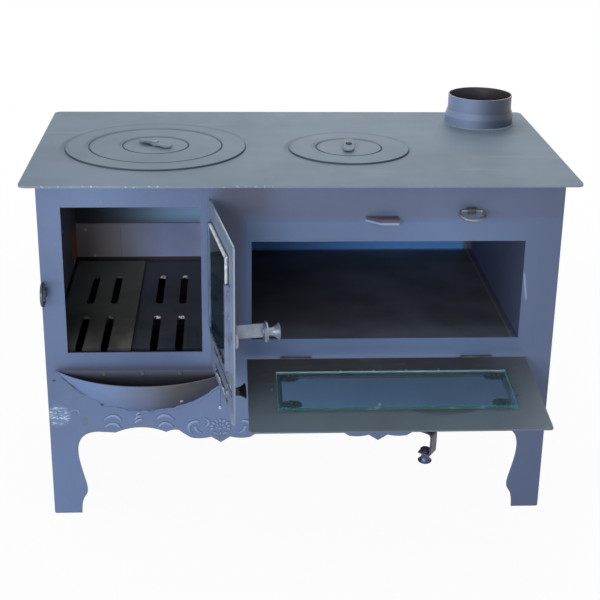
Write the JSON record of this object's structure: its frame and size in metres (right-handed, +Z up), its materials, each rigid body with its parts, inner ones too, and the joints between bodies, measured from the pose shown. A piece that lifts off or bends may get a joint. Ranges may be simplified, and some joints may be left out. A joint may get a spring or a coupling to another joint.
{
  "type": "wood cookstove",
  "caption": "Sheet-steel wood cookstove with ringed burners, a glazed firebox door standing open, a dropped oven door and a flue collar.",
  "frame": {"origin": "on the floor, in the middle of the box round the stove with both doors open", "axes": "+X to the viewer's right along the front, +Y to the back, +Z up"},
  "size_m": [0.994, 0.8176, 0.722],
  "materials": {
    "panel_paint": "satin",
    "oven_door_paint": "satin",
    "cooktop_paint": "satin",
    "inner_steel": "matte",
    "grate_iron": "matte",
    "bare_steel": "brushed",
    "black_steel": "gloss",
    "rivet_steel": "satin",
    "door_glass": "clear",
    "glass_rope": "matte"
  },
  "bodies": {
    "stove": {"front_panel": "panel_paint", "left_side_panel": "panel_paint", "right_side_panel": "panel_paint", "back_panel": "panel_paint", "bottom_plate": "inner_steel", "firebox_partition": "inner_steel", "oven_box": "inner_steel", "firebox_liners": "inner_steel", "grate_rails": "inner_steel", "cooktop_plate": "cooktop_paint", "flue_collar": "cooktop_paint", "flue_sleeve": "cooktop_paint", "ash_catcher": "panel_paint", "ash_catcher_rivets": "rivet_steel", "firebox_hinge_body_leaf": "panel_paint", "firebox_hinge_pin": "bare_steel", "oven_hinge_body_leaves": "panel_paint", "oven_hinge_pins": "bare_steel", "ring_catch_brackets": "panel_paint", "oven_latch_keeper": "panel_paint"},
    "firebox_door": {"firebox_door": "panel_paint", "firebox_glass": "door_glass", "firebox_glass_rope": "glass_rope", "glass_side_strips": "panel_paint", "glass_bottom_strip": "panel_paint", "glass_strip_rivets": "rivet_steel", "air_slide_clips": "panel_paint", "firebox_handle_rivet": "rivet_steel", "firebox_hinge_door_leaf": "panel_paint"},
    "firebox_handle": {"firebox_handle": "bare_steel", "firebox_handle_washer": "bare_steel", "firebox_handle_knob": "bare_steel"},
    "air_slide": {"air_slide": "panel_paint", "air_slide_nut": "black_steel", "air_slide_knob": "black_steel"},
    "oven_door": {"oven_door": "oven_door_paint", "oven_window_trim": "oven_door_paint", "oven_trim_screws": "rivet_steel", "oven_glass": "door_glass", "oven_glass_pads": "glass_rope", "oven_handle_rivet": "rivet_steel", "oven_hinge_door_leaves": "oven_door_paint"},
    "oven_handle": {"oven_handle": "black_steel", "oven_handle_washer": "black_steel", "oven_handle_knob": "black_steel"},
    "firebox_ring": {"firebox_ring_catch": "bare_steel"},
    "oven_ring": {"oven_ring_catch": "bare_steel"},
    "left_outer_ring": {"left_outer_ring": "cooktop_paint"},
    "left_middle_ring": {"left_middle_ring": "cooktop_paint"},
    "left_lid": {"left_lid": "cooktop_paint", "left_lid_rivet": "black_steel"},
    "left_lid_tab": {"left_lid_tab": "cooktop_paint"},
    "right_outer_ring": {"right_outer_ring": "cooktop_paint"},
    "right_lid": {"right_lid": "cooktop_paint", "right_lid_rivet": "black_steel"},
    "right_lid_tab": {"right_lid_tab": "cooktop_paint"},
    "right_grate": {"right_grate": "grate_iron"},
    "left_grate": {"left_grate": "grate_iron"},
    "ash_pan": {"ash_pan": "inner_steel"}
  },
  "joints": [
    {"name": "firebox_door_hinge", "type": "hinge", "parent": "stove", "child": "firebox_door", "pos_m": [-0.1645, -0.12719, 0.489], "axis": [0, 0, 1], "range_deg": [-99, 12]},
    {"name": "firebox_handle_turn", "type": "hinge", "parent": "firebox_door", "child": "firebox_handle", "pos_m": [-0.12477, -0.37806, 0.475], "axis": [0.9877, 0.1564, 0], "range_deg": [-90, 90]},
    {"name": "air_slide_travel", "type": "slide", "parent": "firebox_door", "child": "air_slide", "axis": [-0.1564, 0.9877, 0], "range_m": [0, 0.022]},
    {"name": "oven_door_hinge", "type": "hinge", "parent": "stove", "child": "oven_door", "pos_m": [0.15925, -0.12719, 0.3218], "axis": [1, 0, 0], "range_deg": [-96.4, 0]},
    {"name": "oven_handle_turn", "type": "hinge", "parent": "oven_door", "child": "oven_handle", "pos_m": [0.1847, -0.35009, 0.2968], "axis": [0, 0.1115, -0.9938], "range_deg": [-100, 0]},
    {"name": "firebox_ring_swing", "type": "hinge", "parent": "stove", "child": "firebox_ring", "pos_m": [-0.464, -0.13419, 0.46], "axis": [0, 0, 1], "range_deg": [-90, 90]},
    {"name": "oven_ring_swing", "type": "hinge", "parent": "stove", "child": "oven_ring", "pos_m": [0.3, -0.13419, 0.611], "axis": [1, 0, 0], "range_deg": [-43, 72]},
    {"name": "left_outer_ring_lift", "type": "slide", "parent": "stove", "child": "left_outer_ring", "axis": [0, 0, 1], "range_m": [0, 0.06]},
    {"name": "left_middle_ring_lift", "type": "slide", "parent": "left_outer_ring", "child": "left_middle_ring", "axis": [0, 0, 1], "range_m": [0, 0.06]},
    {"name": "left_lid_lift", "type": "slide", "parent": "left_middle_ring", "child": "left_lid", "axis": [0, 0, 1], "range_m": [0, 0.06]},
    {"name": "left_tab_swivel", "type": "hinge", "parent": "left_lid", "child": "left_lid_tab", "pos_m": [-0.2715, 0.11881, 0.668], "axis": [0, 0, 1], "continuous": true},
    {"name": "right_outer_ring_lift", "type": "slide", "parent": "stove", "child": "right_outer_ring", "axis": [0, 0, 1], "range_m": [0, 0.06]},
    {"name": "right_lid_lift", "type": "slide", "parent": "right_outer_ring", "child": "right_lid", "axis": [0, 0, 1], "range_m": [0, 0.06]},
    {"name": "right_tab_swivel", "type": "hinge", "parent": "right_lid", "child": "right_lid_tab", "pos_m": [0.0995, 0.10381, 0.668], "axis": [0, 0, 1], "continuous": true},
    {"name": "right_grate_lift", "type": "slide", "parent": "stove", "child": "right_grate", "axis": [0, 0, 1], "range_m": [0, 0.06]},
    {"name": "left_grate_lift", "type": "slide", "parent": "right_grate", "child": "left_grate", "axis": [0, 0, 1], "range_m": [0, 0.06]},
    {"name": "ash_pan_lift", "type": "slide", "parent": "stove", "child": "ash_pan", "axis": [0, 0, 1], "range_m": [0, 0.06]}
  ]
}
